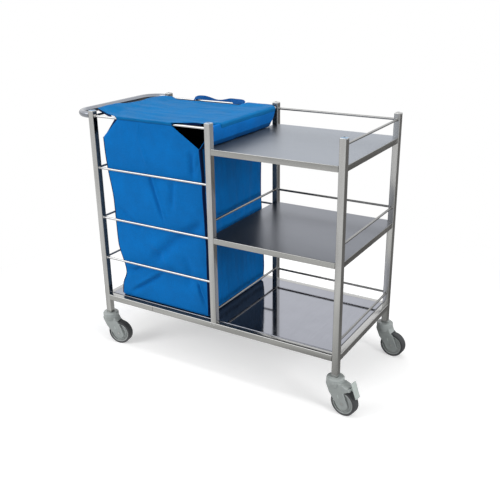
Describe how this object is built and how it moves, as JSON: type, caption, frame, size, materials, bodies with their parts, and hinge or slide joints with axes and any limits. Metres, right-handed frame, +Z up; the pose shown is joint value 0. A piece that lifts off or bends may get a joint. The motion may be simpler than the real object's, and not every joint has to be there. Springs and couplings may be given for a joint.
{
  "type": "linen trolley",
  "caption": "Stainless tube trolley on swivel casters with a hanging lidded linen bag in one bay, open shelves in the other and a bowed push handle.",
  "frame": {"origin": "on the floor under the middle of the frame's length and width", "axes": "+X along the trolley away from the push handle, +Y from the open front to the rear, +Z up"},
  "size_m": [1.272, 0.5569, 1.0096],
  "materials": {
    "frame_steel": "polished stainless tube and bar",
    "shelf_steel": "satin stainless sheet",
    "tray_steel": "mirror-polished stainless sheet",
    "bag_cloth": "coated woven nylon",
    "strap_webbing": "woven webbing",
    "caster_plastic": "moulded grey nylon",
    "pedal_plastic": "moulded light grey nylon",
    "tyre_rubber": "dark grey elastic tyre",
    "bolt_steel": "zinc-plated steel"
  },
  "bodies": {
    "frame": {"post_front_left": "frame_steel", "post_front_middle": "frame_steel", "post_front_right": "frame_steel", "post_rear_left": "frame_steel", "post_rear_middle": "frame_steel", "post_rear_right": "frame_steel", "rail_front": "frame_steel", "rail_rear": "frame_steel", "rail_left": "frame_steel", "rail_right": "frame_steel", "tray_bottom": "tray_steel", "shelf_middle": "shelf_steel", "shelf_top": "shelf_steel", "bay_bar_front_1": "frame_steel", "bay_bar_front_2": "frame_steel", "bay_bar_front_3": "frame_steel", "bay_bar_front_4": "frame_steel", "bay_bar_rear_1": "frame_steel", "bay_bar_rear_2": "frame_steel", "bay_bar_rear_3": "frame_steel", "bay_bar_rear_4": "frame_steel", "bay_bar_left_1": "frame_steel", "bay_bar_left_2": "frame_steel", "bay_bar_left_3": "frame_steel", "bay_bar_left_4": "frame_steel", "bay_bar_middle": "frame_steel", "guard_top_rear": "frame_steel", "guard_top_right": "frame_steel", "guard_middle_left": "frame_steel", "guard_middle_rear": "frame_steel", "guard_middle_right": "frame_steel", "guard_bottom_left": "frame_steel", "guard_bottom_rear": "frame_steel", "guard_bottom_right": "frame_steel", "push_handle": "frame_steel", "linen_bag": "bag_cloth", "caster_fl_stem": "bolt_steel", "caster_fr_stem": "bolt_steel", "caster_rl_stem": "bolt_steel", "caster_rr_stem": "bolt_steel"},
    "lid": {"bag_lid": "bag_cloth", "bag_strap": "strap_webbing"},
    "swivel_fl": {"caster_fl_housing": "caster_plastic", "caster_fl_axle": "bolt_steel"},
    "swivel_fr": {"caster_fr_housing": "caster_plastic", "caster_fr_axle": "bolt_steel"},
    "swivel_rl": {"caster_rl_housing": "caster_plastic", "caster_rl_axle": "bolt_steel"},
    "swivel_rr": {"caster_rr_housing": "caster_plastic", "caster_rr_axle": "bolt_steel"},
    "wheel_fl": {"caster_fl_wheel": "caster_plastic", "caster_fl_tyre": "tyre_rubber"},
    "wheel_fr": {"caster_fr_wheel": "caster_plastic", "caster_fr_tyre": "tyre_rubber"},
    "wheel_rl": {"caster_rl_wheel": "caster_plastic", "caster_rl_tyre": "tyre_rubber"},
    "wheel_rr": {"caster_rr_wheel": "caster_plastic", "caster_rr_tyre": "tyre_rubber"},
    "brake_fr": {"caster_fr_pedal": "pedal_plastic"},
    "brake_rl": {"caster_rl_pedal": "pedal_plastic"}
  },
  "joints": [
    {"name": "lid_hinge", "type": "hinge", "parent": "frame", "child": "lid", "pos_m": [0, -0.2553, 0.9936], "axis": [1, 0, 0], "range_deg": [0, 250]},
    {"name": "fl_swivel", "type": "hinge", "parent": "frame", "child": "swivel_fl", "pos_m": [-0.5315, -0.2455, 0.12], "axis": [0, 0, 1], "continuous": true},
    {"name": "fr_swivel", "type": "hinge", "parent": "frame", "child": "swivel_fr", "pos_m": [0.5315, -0.2455, 0.12], "axis": [0, 0, 1], "continuous": true},
    {"name": "rl_swivel", "type": "hinge", "parent": "frame", "child": "swivel_rl", "pos_m": [-0.5315, 0.2455, 0.12], "axis": [0, 0, 1], "continuous": true},
    {"name": "rr_swivel", "type": "hinge", "parent": "frame", "child": "swivel_rr", "pos_m": [0.5315, 0.2455, 0.12], "axis": [0, 0, 1], "continuous": true},
    {"name": "fl_roll", "type": "hinge", "parent": "swivel_fl", "child": "wheel_fl", "pos_m": [-0.49027, -0.23749, 0.05], "axis": [-0.1908, 0.9816, 0], "continuous": true},
    {"name": "fr_roll", "type": "hinge", "parent": "swivel_fr", "child": "wheel_fr", "pos_m": [0.57298, -0.25207, 0.05], "axis": [0.1564, 0.9877, 0], "continuous": true},
    {"name": "rl_roll", "type": "hinge", "parent": "swivel_rl", "child": "wheel_rl", "pos_m": [-0.48973, 0.24989, 0.05], "axis": [-0.1045, 0.9945, 0], "continuous": true},
    {"name": "rr_roll", "type": "hinge", "parent": "swivel_rr", "child": "wheel_rr", "pos_m": [0.57334, 0.24184, 0.05], "axis": [0.0872, 0.9962, 0], "continuous": true},
    {"name": "fr_brake", "type": "hinge", "parent": "swivel_fr", "child": "brake_fr", "pos_m": [0.59965, -0.25629, 0.113], "axis": [0.1564, 0.9877, 0], "range_deg": [0, 12]},
    {"name": "rl_brake", "type": "hinge", "parent": "swivel_rl", "child": "brake_rl", "pos_m": [-0.46288, 0.25271, 0.113], "axis": [-0.1045, 0.9945, 0], "range_deg": [0, 12]}
  ]
}
